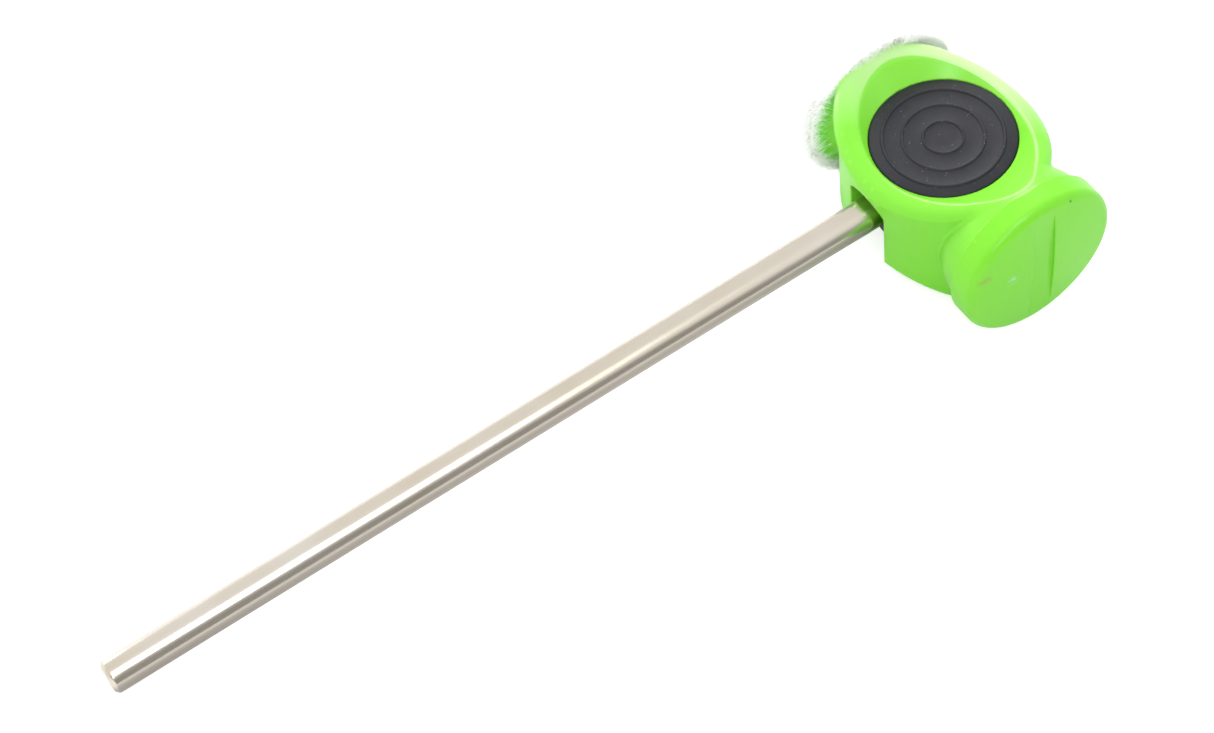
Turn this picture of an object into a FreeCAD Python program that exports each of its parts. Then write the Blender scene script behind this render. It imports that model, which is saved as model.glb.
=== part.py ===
import FreeCAD, Part
import Sketcher
import math
import os

# Two-way bass drum pedal beater: a rod, a rubber hub on a rigid core, and a head
# with a hard striking face on one side and a fleece pad on the other.
#
# Millimetres. The origin is the centre of the rod's lower end face, and the rod
# runs up +Z to the head. The hard face looks to +X and the fleece to -X. The hub
# axis lies along Y, with its front disc facing -Y. Every body but the rod is
# drawn about the hub centre, where the rod axis crosses the hub axis.

doc = FreeCAD.newDocument("beater")
sheet = doc.addObject("Spreadsheet::Sheet", "Sizes")

# alias, value, note. "Out" is the distance from the hub centre along Y.
SIZES = [
    # rod
    ("rod_radius", 3.969, "rod radius, 5/16 inch rod"),
    ("rod_below", 220.86, "rod's lower end to hub centre"),
    ("rod_above", 8.0, "hub centre to rod's upper end, inside the core"),
    ("seat_radius", 3.5, "radius of the rod's ground end, inside hub and core"),
    ("seat_low", 17.86, "start of the ground end below the hub centre"),
    ("rod_chamfer_low", 0.9, "lower end chamfer"),
    ("rod_chamfer_top", 0.6, "upper end chamfer"),
    # rubber hub
    ("hub_radius", 17.05, "rubber hub radius"),
    ("hub_half", 11.3, "hub centre to disc face"),
    ("hub_edge", 0.45, "bevel of the disc edge"),
    ("ridge_radius", 17.85, "radius of the ridge that keeps the head on"),
    ("ridge_flat", 1.9, "half width of the ridge's flat top"),
    ("ridge_foot", 3.1, "half width of the ridge's foot"),
    ("disc_ring_inner", 13.6, "raised ring on the disc, inner radius"),
    ("disc_ring_outer", 14.2, "raised ring on the disc, outer radius"),
    ("disc_ring_height", 0.25, "height of the raised ring"),
    ("disc_ring_slope", 0.12, "run of the raised ring's sloping sides"),
    # rigid core and pin
    ("core_radius", 6.5, "core barrel radius"),
    ("core_half", 10.5, "half length of the core barrel"),
    ("core_chamfer", 0.7, "core end chamfer"),
    ("pin_radius", 1.25, "rod pin radius"),
    ("pin_bore", 0.7, "inner radius of the rolled pin"),
    ("pin_half", 6.1, "half length of the rod pin"),
    ("pin_z", 3.0, "rod pin above the hub centre"),
    ("pin_slit", 0.5, "gap of the rolled pin"),
    # head: ring
    ("gap", 0.05, "running gap between hub and head"),
    ("groove_gap", 0.08, "side gap between ridge and groove"),
    ("ring_half", 22.6, "half height of the ring along the rod"),
    ("front_side_radius", 30.0, "ring's sides towards the striking face"),
    ("front_end_radius", 15.5, "ring's end at the striking face"),
    ("rear_side_radius", 29.85, "ring's sides towards the fleece"),
    ("rear_end_radius", 19.7, "ring's end at the fleece"),
    ("ring_depth", 44.0, "length along Y of the blank the ring is cut from"),
    ("saddle_radius", 56.0, "radius of the saddle-shaped rims"),
    ("saddle_y", 12.0, "how far out the rims are at their lowest"),
    ("rim_round", 3.6, "rounding of the front rim's outer edge"),
    ("rear_round", 0.8, "rounding of the rear rim's outer edge"),
    ("bowl_y", 11.15, "how far out the bowl starts"),
    ("bowl_top", 20.0, "how far out the bowl is cut"),
    ("bowl_radius", 26.6, "bowl radius where its cut ends"),
    ("bowl_x", 1.8, "offset of the bowl towards the striking face there"),
    # head: slot for the rod
    ("slot_half", 6.12, "half width of the slot"),
    ("slot_side", 4.1, "how far the slot's straight sides reach to the front"),
    ("slot_top", 7.0, "how far the slot's arched end reaches to the front"),
    # head: necks; x is from the rod axis, y and z are half sizes along Y and Z
    ("pad_z", 0.6, "pad, plate and neck centres above the hub axis"),
    ("neck_x1", 13.0, "first section of both necks"),
    ("neck_y1", 12.4, "its half size along Y"),
    ("neck_z1", 12.2, "its half size along Z"),
    ("neck_x2", 21.0, "second section, neck to the pad"),
    ("neck_y2", 15.0, "its half size along Y"),
    ("neck_z2", 13.0, "its half size along Z"),
    ("neck_x3", 25.4, "third section, neck to the pad"),
    ("neck_y3", 17.8, "its half size along Y"),
    ("neck_z3", 15.9, "its half size along Z"),
    ("neck_y4", 20.1, "half size along Y where the neck meets the pad"),
    ("neck_z4", 20.0, "half size along Z where the neck meets the pad"),
    ("root_x2", 19.5, "second section, neck to the plate"),
    ("root_y2", 15.1, "its half size along Y"),
    ("root_z2", 13.6, "its half size along Z"),
    ("root_y3", 18.3, "half size along Y where the neck meets the plate"),
    ("root_z3", 15.6, "half size along Z where the neck meets the plate"),
    ("neck_overlap", 0.1, "how far the necks run into pad and plate"),
    # head: striking pad
    ("pad_x", 28.0, "rod axis to the back of the striking pad"),
    ("pad_radius", 20.16, "striking pad radius"),
    ("pad_rim", 33.3, "end of the pad's straight rim"),
    ("pad_edge_radius", 1.75, "rounding between rim and face"),
    ("pad_face", 35.0, "edge of the pad's face"),
    ("pad_face_radius", 18.45, "radius where the face begins"),
    ("pad_crown", 36.0, "centre of the crowned face"),
    ("channel_x", 35.05, "floor of the channel across the face"),
    ("channel_half", 3.0, "half width of the channel"),
    # head: backing plate for the fleece
    ("plate_back", 24.5, "rod axis to the plate's ring side"),
    ("plate_front", 27.0, "rod axis to the plate's fleece side"),
    ("plate_radius", 19.2, "plate radius"),
    ("plate_edge", 0.6, "edge bevel of the plate"),
    ("relief_x", 23.3, "rod axis to the relief behind the fleece's lip"),
    ("relief_radius", 18.35, "radius left of the ring inside that relief"),
    # fleece pad
    ("film_thick", 0.3, "adhesive film thickness"),
    ("film_radius", 18.2, "adhesive film radius"),
    ("cloth_thick", 0.9, "knitted backing thickness"),
    ("cloth_radius", 19.0, "knitted backing radius"),
    ("pile_radius", 21.6, "outer radius of the pile"),
    ("pile_front", 34.4, "rod axis to the pile's face"),
    ("pile_back", 23.5, "rod axis to the rear of the pile's lip"),
    ("pile_bevel", 1.2, "bevel of the pile's rear outer edge"),
    ("lip_radius", 18.6, "inner radius of the lip behind the plate"),
    ("lip_bevel", 0.5, "bevel of the lip's inner edge"),
    ("pile_gap", 0.12, "gap between pile and plate"),
]

# The pile's rounded face: setback from its face, inset from its outer radius
PILE_EDGE = [(0.25, 6), (1.1, 2.8), (2.8, 0.8), (4.8, 0)]

# The slot's arch is drawn this much over the radius its rise gives
ARCH_FACTOR = 1.0001

# How near an edge must lie to the rim's calculated place to be rounded
EDGE_TOLERANCE = 0.02


# ------------------------------------------------------- sizes as expressions
OPERATIONS = {
    "+": lambda a, b: a + b,
    "-": lambda a, b: a - b,
    "*": lambda a, b: a * b,
    "/": lambda a, b: a / b,
}


class Dim:
    """A size: its number, and the expression that reads it from the sheet."""

    def __init__(self, value, text=None):
        self.value = float(value)
        self.text = text if text is not None else repr(self.value)

    def __add__(self, other):
        return combine(self, "+", other)

    def __sub__(self, other):
        return combine(self, "-", other)

    def __mul__(self, other):
        return combine(self, "*", other)

    def __rmul__(self, other):
        return combine(other, "*", self)

    def __truediv__(self, other):
        return combine(self, "/", other)

    def __neg__(self):
        return Dim(-self.value, "(0 - %s)" % self.text)


def dim(number):
    return number if isinstance(number, Dim) else Dim(number)


def combine(left, sign, right):
    left, right = dim(left), dim(right)
    value = OPERATIONS[sign](left.value, right.value)
    return Dim(value, "(%s %s %s)" % (left.text, sign, right.text))


def root(square):
    return Dim(math.sqrt(square.value), "sqrt(%s)" % square.text)


def arc_radius(half_chord, rise):
    return (half_chord * half_chord + rise * rise) / (2 * rise)


class Sizes:
    """Holds each size of the sheet as a Dim, under its alias."""


size = Sizes()
for row, (alias, value, note) in enumerate(SIZES, start=1):
    sheet.set("A%d" % row, note)
    sheet.set("B%d" % row, str(value))
    sheet.setAlias("B%d" % row, alias)
    setattr(size, alias, Dim(value, "Sizes." + alias))
doc.recompute()


# ---------------------------------------------------------- bodies, sketches
def new_body(label, at_hub=True):
    body = doc.addObject("PartDesign::Body", label)
    body.Label = label
    if at_hub:
        body.setExpression("Placement.Base.z", size.rod_below.text)
    return body


def new_sketch(body, name, role, offset=None):
    """A sketch on an origin plane. The XZ plane's normal is -Y, the others' is +."""
    plane = next(item for item in body.Origin.OriginFeatures if item.Role == role)
    sketch = body.newObject("Sketcher::SketchObject", name)
    sketch.AttachmentSupport = [(plane, "")]
    sketch.MapMode = "FlatFace"
    if offset is not None:
        shift = FreeCAD.Vector(0, 0, offset.value)
        sketch.AttachmentOffset = FreeCAD.Placement(shift, FreeCAD.Rotation())
        sketch.setExpression("AttachmentOffset.Base.z", offset.text)
    return sketch


def constrain(sketch, name, amount, kind, *where):
    """Add a constraint whose value is bound to the sheet."""
    index = sketch.addConstraint(Sketcher.Constraint(kind, *where, amount.value))
    sketch.renameConstraint(index, name)
    sketch.setExpression("Constraints." + name, amount.text)


def fix_point(sketch, edge, point, x, y, name):
    """Hold a sketch point at (x, y), each distance bound to the sheet."""
    for letter, place, kind, axis_line in (
        ("x", dim(x), "DistanceX", -2),
        ("y", dim(y), "DistanceY", -1),
    ):
        if abs(place.value) < 1e-9:
            on_axis = Sketcher.Constraint("PointOnObject", edge, point, axis_line)
            sketch.addConstraint(on_axis)
        elif place.value > 0:
            constrain(sketch, name + letter, place, kind, -1, 1, edge, point)
        else:
            constrain(sketch, name + letter, -place, kind, edge, point, -1, 1)


def arc_between(start, end, radius, side):
    """The arc from start to end whose centre lies left (1) or right (-1)."""
    chord = end - start
    height = math.sqrt(max(radius ** 2 - (chord.Length / 2) ** 2, 0.0))
    normal = FreeCAD.Vector(-chord.y, chord.x, 0).normalize() * side
    centre = (start + end) * 0.5 + normal * height
    first = math.atan2(start.y - centre.y, start.x - centre.x)
    last = math.atan2(end.y - centre.y, end.x - centre.x)
    if side < 0:
        first, last = last, first
    while last < first:
        last += 2 * math.pi
    full = Part.Circle(centre, FreeCAD.Vector(0, 0, 1), radius)
    return Part.ArcOfCircle(full, first, last)


def outline(sketch, corners):
    """A closed outline. Each corner is (x, y) or (x, y, radius, side), where the
    edge to the next corner is an arc whose centre lies left (1) or right (-1)."""
    points = [FreeCAD.Vector(dim(c[0]).value, dim(c[1]).value, 0) for c in corners]
    following = points[1:] + points[:1]
    edges = []  # edge, its start point and its end point
    for corner, start, end in zip(corners, points, following):
        if len(corner) == 2:
            edge = sketch.addGeometry(Part.LineSegment(start, end), False)
            edges.append((edge, 1, 2))
        else:
            radius, side = corner[2:]
            arc = arc_between(start, end, radius.value, side)
            edge = sketch.addGeometry(arc, False)
            edges.append((edge, 1, 2) if side > 0 else (edge, 2, 1))
    for (edge, _, end), (after, after_start, _) in zip(edges, edges[1:] + edges[:1]):
        joint = Sketcher.Constraint("Coincident", edge, end, after, after_start)
        sketch.addConstraint(joint)
    for i, (corner, (edge, start, _)) in enumerate(zip(corners, edges)):
        fix_point(sketch, edge, start, corner[0], corner[1], "corner%d_" % i)
        if len(corner) == 4:
            constrain(sketch, "corner%d_radius" % i, corner[2], "Radius", edge)


def circle(sketch, x, y, radius, name="circle"):
    centre = FreeCAD.Vector(dim(x).value, dim(y).value, 0)
    round_edge = Part.Circle(centre, FreeCAD.Vector(0, 0, 1), radius.value)
    edge = sketch.addGeometry(round_edge, False)
    fix_point(sketch, edge, 3, x, y, name + "_")
    constrain(sketch, name + "_radius", radius, "Radius", edge)


def ellipse(sketch, half_long, half_wide, up):
    """An oval centred at (0, up), its long axis along the sketch's x."""
    centre = FreeCAD.Vector(0, up.value, 0)
    oval = Part.Ellipse(centre, half_long.value, half_wide.value)
    edge = sketch.addGeometry(oval, False)
    sketch.exposeInternalGeometry(edge)
    long_axis, wide_axis = edge + 1, edge + 2
    fix_point(sketch, edge, 3, 0, up, "centre_")
    sketch.addConstraint(Sketcher.Constraint("Horizontal", long_axis))
    constrain(sketch, "long", 2 * half_long, "Distance", long_axis)
    constrain(sketch, "wide", 2 * half_wide, "Distance", wide_axis)


# ------------------------------------------------------------------ features
def new_feature(body, kind, name, sketch):
    feature = body.newObject("PartDesign::" + kind, name)
    feature.Profile = sketch
    feature.Refine = False
    return feature


def recompute_cut(feature):
    """Build a cut, and stop if it removes nothing."""
    before = feature.BaseFeature.Shape.Volume
    doc.recompute()
    if not feature.Shape.Volume < before - 1e-6:
        raise RuntimeError(feature.Name + " cuts nothing")


def pad(body, name, sketch, length):
    """Extrude half the length to each side of the sketch."""
    feature = new_feature(body, "Pad", name, sketch)
    feature.SideType = "Symmetric"
    feature.setExpression("Length", length.text)
    doc.recompute()


def pocket(body, name, sketch, length=None, symmetric=True, along_normal=False):
    """Cut through all or to a length: both ways, or one way from the sketch,
    which is against its normal unless along_normal is set."""
    feature = new_feature(body, "Pocket", name, sketch)
    feature.SideType = "Symmetric" if symmetric else "One side"
    feature.Reversed = along_normal
    if length is None:
        feature.Type = "ThroughAll"
    else:
        feature.setExpression("Length", length.text)
    recompute_cut(feature)
    return feature


# axis of turning: plane of the profile, the sketch's own axis. Turnings about x
# run through the pad's centre, the others through the hub centre.
TURNING = {
    "x": ("XY_Plane", "H_Axis"),
    "y": ("XY_Plane", "V_Axis"),
    "z": ("XZ_Plane", "V_Axis"),
}


def turn(body, sketch_name, name, axis, corners, cut=False):
    role, sketch_axis = TURNING[axis]
    offset = size.pad_z if axis == "x" else None
    sketch = new_sketch(body, sketch_name, role, offset)
    outline(sketch, corners)
    feature = new_feature(body, "Groove" if cut else "Revolution", name, sketch)
    feature.ReferenceAxis = (sketch, [sketch_axis])
    feature.Angle = 360
    if cut:
        recompute_cut(feature)
    else:
        doc.recompute()


def loft(body, name, sections, cut=False, ruled=False):
    kind = "SubtractiveLoft" if cut else "AdditiveLoft"
    feature = new_feature(body, kind, name, sections[0])
    feature.Sections = sections[1:]
    feature.Ruled = ruled
    doc.recompute()


def fillet(body, name, base, choose, radius):
    """Round the edges of base for which choose(edge) holds."""
    edges = enumerate(base.Shape.Edges, start=1)
    names = ["Edge%d" % i for i, edge in edges if choose(edge)]
    if not names:
        raise RuntimeError(name + " found no edge")
    feature = body.newObject("PartDesign::Fillet", name)
    feature.Base = (base, names)
    feature.Refine = False
    feature.setExpression("Radius", radius.text)
    doc.recompute()
    return feature


def drill_for_pin(body, prefix, z):
    """The cross hole along X for the rod pin."""
    sketch = new_sketch(body, prefix + "_cross_hole", "YZ_Plane")
    circle(sketch, 0, z, size.pin_radius)
    pocket(body, prefix + "_drilled", sketch)


# ------------------------------------------------------------- rod, core, pin
def beater_rod():
    """A turned rod, chamfered at both ends. Its upper end is ground a little
    thinner where it sits in the hub, and is cross drilled for the pin."""
    body = new_body("beater_rod", at_hub=False)
    top = size.rod_below + size.rod_above
    shoulder = size.rod_below - size.seat_low
    turn(body, "rod_profile", "rod_turned", "z", [
        (0, 0),
        (size.rod_radius - size.rod_chamfer_low, 0),
        (size.rod_radius, size.rod_chamfer_low),
        (size.rod_radius, shoulder),
        (size.seat_radius, shoulder),
        (size.seat_radius, top - size.rod_chamfer_top),
        (size.seat_radius - size.rod_chamfer_top, top),
        (0, top),
    ])
    drill_for_pin(body, "rod", size.rod_below + size.pin_z)
    return body


def barrel_side():
    """The core's chamfered outer side, from its lower end to its top centre."""
    return [
        (size.core_radius - size.core_chamfer, -size.core_half),
        (size.core_radius, size.core_chamfer - size.core_half),
        (size.core_radius, size.core_half - size.core_chamfer),
        (size.core_radius - size.core_chamfer, size.core_half),
        (0, size.core_half),
    ]


def hub_core():
    """A rigid barrel along the rod, blind at the top, cross drilled for the pin."""
    body = new_body("hub_core")
    turn(body, "core_profile", "core_turned", "z", [
        (size.seat_radius, -size.core_half),
        *barrel_side(),
        (0, size.rod_above),
        (size.seat_radius, size.rod_above),
    ])
    drill_for_pin(body, "core", size.pin_z)
    return body


def rod_pin():
    """A rolled spring pin across rod and core: a thin tube with a lengthwise gap
    along its top."""
    body = new_body("rod_pin")
    sketch = new_sketch(body, "pin_profile", "YZ_Plane")
    circle(sketch, 0, size.pin_z, size.pin_radius, "outer")
    circle(sketch, 0, size.pin_z, size.pin_bore, "inner")
    pad(body, "pin_rolled", sketch, 2 * size.pin_half)

    sketch = new_sketch(body, "pin_gap", "YZ_Plane")
    half = size.pin_slit / 2
    above = size.pin_z + 2 * size.pin_radius
    outline(sketch, [(-half, size.pin_z), (half, size.pin_z), (half, above), (-half, above)])
    pocket(body, "pin_slit_cut", sketch)
    return body


# ----------------------------------------------------------- rubber hub halves
def hub_half(label, side):
    """One half (front -1, rear 1) of a rubber spool that closes on the core. Half
    of a ridge runs round its inner end, and sits in the head's groove."""
    body = new_body(label)
    face = size.hub_half
    ring_face = face + size.disc_ring_height
    corners = [
        (0, 0),
        (size.ridge_radius, 0),
        (size.ridge_radius, size.ridge_flat),
        (size.hub_radius, size.ridge_foot),
        (size.hub_radius, face - size.hub_edge),
        (size.hub_radius - size.hub_edge, face),
        (size.disc_ring_outer, face),
        (size.disc_ring_outer - size.disc_ring_slope, ring_face),
        (size.disc_ring_inner + size.disc_ring_slope, ring_face),
        (size.disc_ring_inner, face),
        (0, face),
    ]
    if side < 0:
        corners = [(x, -dim(y)) for x, y in corners]
    turn(body, label + "_profile", label + "_moulded", "y", corners)

    seat = [(0, -size.core_half), *barrel_side()]
    turn(body, label + "_core_seat_profile", label + "_core_seat", "z", seat, cut=True)

    # rod seat, from the hub centre down and out through the rim
    sketch = new_sketch(body, label + "_rod_seat_profile", "XY_Plane")
    circle(sketch, 0, 0, size.seat_radius)
    pocket(body, label + "_rod_seat", sketch, size.hub_radius * 1.5, symmetric=False)
    return body


# ---------------------------------------------------------------- head shell
def oval_half(side_radius, end_radius):
    """Where the end arc of one half of the ring's oval meets its side arcs, and
    the end arc's centre: (join x, join z, centre x), x measured outward."""
    reach = side_radius - end_radius
    drop = side_radius - size.ring_half
    centre_x = root(reach * reach - drop * drop)
    join_x = centre_x + end_radius * centre_x / reach
    join_z = end_radius * drop / reach
    return join_x, join_z, centre_x


FRONT_OVAL = oval_half(size.front_side_radius, size.front_end_radius)
REAR_OVAL = oval_half(size.rear_side_radius, size.rear_end_radius)


def on_rim(edge, side):
    """Whether an edge lies where the ring's oval wall meets its saddle-shaped
    rim, at the front (side -1) or the rear (side 1)."""
    span = edge.LastParameter - edge.FirstParameter
    for fraction in (0.1, 0.5, 0.9):
        point = edge.valueAt(edge.FirstParameter + fraction * span)
        x, z = abs(point.x), abs(point.z)
        if point.x > 0:
            side_radius, end_radius = size.front_side_radius.value, size.front_end_radius.value
            join_x, _, centre_x = FRONT_OVAL
        else:
            side_radius, end_radius = size.rear_side_radius.value, size.rear_end_radius.value
            join_x, _, centre_x = REAR_OVAL
        if x < join_x.value:
            off_wall = math.hypot(x, z + side_radius - size.ring_half.value) - side_radius
        else:
            off_wall = math.hypot(x - centre_x.value, z) - end_radius
        saddle = size.saddle_radius.value
        rim = size.saddle_y.value + saddle - math.sqrt(saddle ** 2 - point.x ** 2)
        off_rim = side * point.y - rim
        if abs(off_wall) > EDGE_TOLERANCE or abs(off_rim) > EDGE_TOLERANCE:
            return False
    return True


def add_ring(shell):
    """The oval ring, of six tangent arcs, with its saddle-shaped rims."""
    front_x, front_z, _ = FRONT_OVAL
    rear_x, rear_z, _ = REAR_OVAL
    sketch = new_sketch(shell, "ring_outline", "XZ_Plane")
    outline(sketch, [
        (front_x, -front_z, size.front_end_radius, 1),
        (front_x, front_z, size.front_side_radius, 1),
        (0, size.ring_half, size.rear_side_radius, 1),
        (-rear_x, rear_z, size.rear_end_radius, 1),
        (-rear_x, -rear_z, size.rear_side_radius, 1),
        (0, -size.ring_half, size.front_side_radius, 1),
    ])
    pad(shell, "ring_blank", sketch, size.ring_depth)

    sketch = new_sketch(shell, "saddle_outline", "XY_Plane", size.ring_depth)
    centre_y = size.saddle_y + size.saddle_radius
    circle(sketch, 0, centre_y, size.saddle_radius, "rear")
    circle(sketch, 0, -centre_y, size.saddle_radius, "front")
    ring = pocket(shell, "ring_saddle", sketch, size.ring_depth * 2, symmetric=False)

    # the rims' outer edges: a large rounding at the front, a small one at the rear
    ring = fillet(shell, "front_rim", ring, lambda edge: on_rim(edge, -1), size.rim_round)
    fillet(shell, "rear_rim", ring, lambda edge: on_rim(edge, 1), size.rear_round)


def add_neck(shell, name, table):
    """A flaring neck through oval sections: x, half size along Y, along Z."""
    sections = []
    for i, (x, half_y, half_z) in enumerate(table):
        sketch = new_sketch(shell, "%s_section%d" % (name, i), "YZ_Plane", x)
        ellipse(sketch, half_y, half_z, size.pad_z)
        sections.append(sketch)
    loft(shell, name, sections)


def add_necks(shell):
    """The neck to the striking pad, and the shorter one to the fleece plate."""
    add_neck(shell, "neck", [
        (size.neck_x1, size.neck_y1, size.neck_z1),
        (size.neck_x2, size.neck_y2, size.neck_z2),
        (size.neck_x3, size.neck_y3, size.neck_z3),
        (size.pad_x + size.neck_overlap, size.neck_y4, size.neck_z4),
    ])
    add_neck(shell, "root", [
        (-size.neck_x1, size.neck_y1, size.neck_z1),
        (-size.root_x2, size.root_y2, size.root_z2),
        (-(size.plate_back + size.neck_overlap), size.root_y3, size.root_z3),
    ])


def cut_lip_relief(shell):
    """Keep the ring's end clear of the fleece's lip."""
    beyond = size.relief_x * 1.5
    turn(shell, "relief_profile", "lip_relief", "x", [
        (-size.relief_x, size.relief_radius),
        (-size.relief_x, size.ring_depth),
        (-beyond, size.ring_depth),
        (-beyond, size.relief_radius),
    ], cut=True)


def add_striking_pad(shell):
    """Straight rim, rounded edge, crowned face."""
    crown_radius = arc_radius(size.pad_face_radius, size.pad_crown - size.pad_face)
    turn(shell, "pad_profile", "striking_pad", "x", [
        (size.pad_x, 0),
        (size.pad_x, size.pad_radius),
        (size.pad_rim, size.pad_radius, size.pad_edge_radius, -1),
        (size.pad_face, size.pad_face_radius, crown_radius, -1),
        (size.pad_crown, 0),
    ])


def add_fleece_plate(shell):
    turn(shell, "plate_profile", "fleece_plate", "x", [
        (-size.plate_back, 0),
        (-size.plate_front, 0),
        (-size.plate_front, size.plate_radius - size.plate_edge),
        (size.plate_edge - size.plate_front, size.plate_radius),
        (-(size.plate_back + size.plate_edge), size.plate_radius),
        (-size.plate_back, size.plate_radius - size.plate_edge),
    ])


def cut_bowls(shell):
    """Dished sides, front and rear; each leans towards the striking face."""
    for side, name in ((1, "front"), (-1, "rear")):
        low = new_sketch(shell, "bowl_%s_low" % name, "XZ_Plane", side * size.bowl_y)
        circle(low, 0, 0, size.hub_radius + size.gap)
        high = new_sketch(shell, "bowl_%s_high" % name, "XZ_Plane", side * size.bowl_top)
        circle(high, size.bowl_x, size.pad_z, size.bowl_radius)
        loft(shell, "bowl_" + name, [low, high], cut=True, ruled=True)


def cut_bore(shell):
    """The bore for the rubber hub, and the groove for its ridge."""
    bore = size.hub_radius + size.gap
    sketch = new_sketch(shell, "bore_outline", "XZ_Plane")
    circle(sketch, 0, 0, bore)
    pocket(shell, "bore", sketch)

    inside = size.hub_radius - 1  # the profile starts in the open bore
    floor = size.ridge_radius + size.gap
    foot = size.ridge_foot + size.groove_gap
    flat = size.ridge_flat + size.groove_gap
    turn(shell, "groove_profile", "ridge_groove", "y", [
        (inside, -foot),
        (bore, -foot),
        (floor, -flat),
        (floor, flat),
        (bore, foot),
        (inside, foot),
    ], cut=True)


def cut_slot(shell):
    """The rod's slot in the lower wall: arched at the front, open at the rear."""
    arch_radius = arc_radius(size.slot_half, size.slot_top - size.slot_side)
    open_end = size.ring_depth / 2
    sketch = new_sketch(shell, "slot_outline", "XY_Plane")
    outline(sketch, [
        (size.slot_half, -size.slot_side),
        (size.slot_half, open_end),
        (-size.slot_half, open_end),
        (-size.slot_half, -size.slot_side, arch_radius * ARCH_FACTOR, 1),
    ])
    pocket(shell, "slot", sketch, size.ring_half * 1.4, symmetric=False)


def cut_channel(shell):
    """A channel across the striking face, parallel to the hub axis."""
    sketch = new_sketch(shell, "channel_outline", "YZ_Plane", size.channel_x)
    outline(sketch, [
        (-size.ring_depth, -size.channel_half),
        (size.ring_depth, -size.channel_half),
        (size.ring_depth, size.channel_half),
        (-size.ring_depth, size.channel_half),
    ])
    pocket(shell, "channel", sketch, symmetric=False, along_normal=True)


def head_shell():
    """One moulding: ring, necks, striking pad and fleece plate."""
    shell = new_body("head_shell")
    add_ring(shell)
    add_necks(shell)
    cut_lip_relief(shell)
    add_striking_pad(shell)
    add_fleece_plate(shell)
    cut_bowls(shell)
    cut_bore(shell)
    cut_slot(shell)
    cut_channel(shell)
    return shell


# ---------------------------------------------------------------- fleece pad
# Adhesive film, knitted backing and pile, one on the other, outward along -X.
FILM_FRONT = size.plate_front + size.film_thick
CLOTH_FRONT = FILM_FRONT + size.cloth_thick


def fleece_layer(label, name, back, front, radius):
    """A flat disc between two distances from the rod axis."""
    body = new_body(label)
    corners = [(-back, 0), (-front, 0), (-front, radius), (-back, radius)]
    turn(body, name + "_profile", name, "x", corners)
    return body


def fleece_pile():
    """The pile, whose rear lip reaches back round the plate's edge."""
    body = new_body("fleece_pile")
    around_plate = size.plate_radius + size.pile_gap
    behind_plate = size.plate_back - size.pile_gap
    turn(body, "pile_profile", "pile", "x", [
        (-CLOTH_FRONT, 0),
        (-size.pile_front, 0),
        *[(-(size.pile_front - setback), size.pile_radius - inset)
          for setback, inset in PILE_EDGE],
        (-(size.pile_back + size.pile_bevel), size.pile_radius),
        (-size.pile_back, size.pile_radius - size.pile_bevel),
        (-size.pile_back, size.lip_radius + size.lip_bevel),
        (-(size.pile_back + size.lip_bevel), size.lip_radius),
        (-behind_plate, size.lip_radius),
        (-behind_plate, around_plate),
        (-CLOTH_FRONT, around_plate),
    ])
    return body


# ------------------------------------------------------ build, check and write
bodies = [
    beater_rod(),
    hub_core(),
    rod_pin(),
    hub_half("hub_front", -1),
    hub_half("hub_rear", 1),
    head_shell(),
    fleece_layer("fleece_adhesive", "film", size.plate_front, FILM_FRONT, size.film_radius),
    fleece_layer("fleece_backing", "cloth", FILM_FRONT, CLOTH_FRONT, size.cloth_radius),
    fleece_pile(),
]

doc.recompute()
for item in doc.Objects:
    bad = [state for state in item.State if state in ("Invalid", "Error")]
    if bad:
        raise RuntimeError("%s is %s" % (item.Name, bad))
for body in bodies:
    shape = body.Shape
    if shape.isNull() or not shape.isValid() or len(shape.Solids) != 1:
        raise RuntimeError(body.Label + ": null, invalid or not one solid")

os.makedirs("parts", exist_ok=True)
for body in bodies:
    body.Shape.exportStep("parts/%s.step" % body.Label)
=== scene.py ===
# A drum beater: an oval plastic ring round a rubber hub, with a hard striking pad on one
# side, a fleece pad on the other, and a steel rod running down from the hub.
# The hub's axis is Y, with the front at -Y. The striking pad is at +X and the fleece
# at -X. The rod lies along Z and runs downwards.
# Shapes are given in millimetres from the hub's centre; place() puts them in the frame.
import math
from functools import cached_property

import bmesh
import bpy
import numpy as np
from mathutils import Matrix, Vector
from mathutils.kdtree import KDTree


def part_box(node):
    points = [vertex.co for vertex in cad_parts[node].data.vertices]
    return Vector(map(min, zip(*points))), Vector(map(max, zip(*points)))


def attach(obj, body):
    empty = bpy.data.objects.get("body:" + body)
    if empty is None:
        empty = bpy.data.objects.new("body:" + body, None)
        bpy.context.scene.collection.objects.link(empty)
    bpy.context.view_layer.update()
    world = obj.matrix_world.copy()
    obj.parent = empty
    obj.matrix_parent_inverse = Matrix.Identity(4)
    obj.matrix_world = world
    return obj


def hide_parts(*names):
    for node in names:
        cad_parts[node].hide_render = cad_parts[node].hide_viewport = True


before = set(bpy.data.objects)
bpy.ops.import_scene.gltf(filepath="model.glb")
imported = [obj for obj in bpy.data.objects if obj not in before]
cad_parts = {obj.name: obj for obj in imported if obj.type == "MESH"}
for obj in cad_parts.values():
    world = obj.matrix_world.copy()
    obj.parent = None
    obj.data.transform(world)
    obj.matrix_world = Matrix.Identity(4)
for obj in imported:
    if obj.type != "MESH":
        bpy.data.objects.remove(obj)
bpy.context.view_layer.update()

scene = bpy.context.scene

hub_low, hub_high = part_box("hub_front")
HUB = np.array([(hub_low.x + hub_high.x) / 2, 0.0, (hub_low.z + hub_high.z) / 2])
rod_low, rod_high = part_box("beater_rod")
ROD_RADIUS = (rod_high.x - rod_low.x) * 500
ROD_BOTTOM = (rod_low.z - HUB[2]) * 1000
ROD_TOP = (rod_high.z - HUB[2]) * 1000
rng = np.random.default_rng(20240611)


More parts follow.
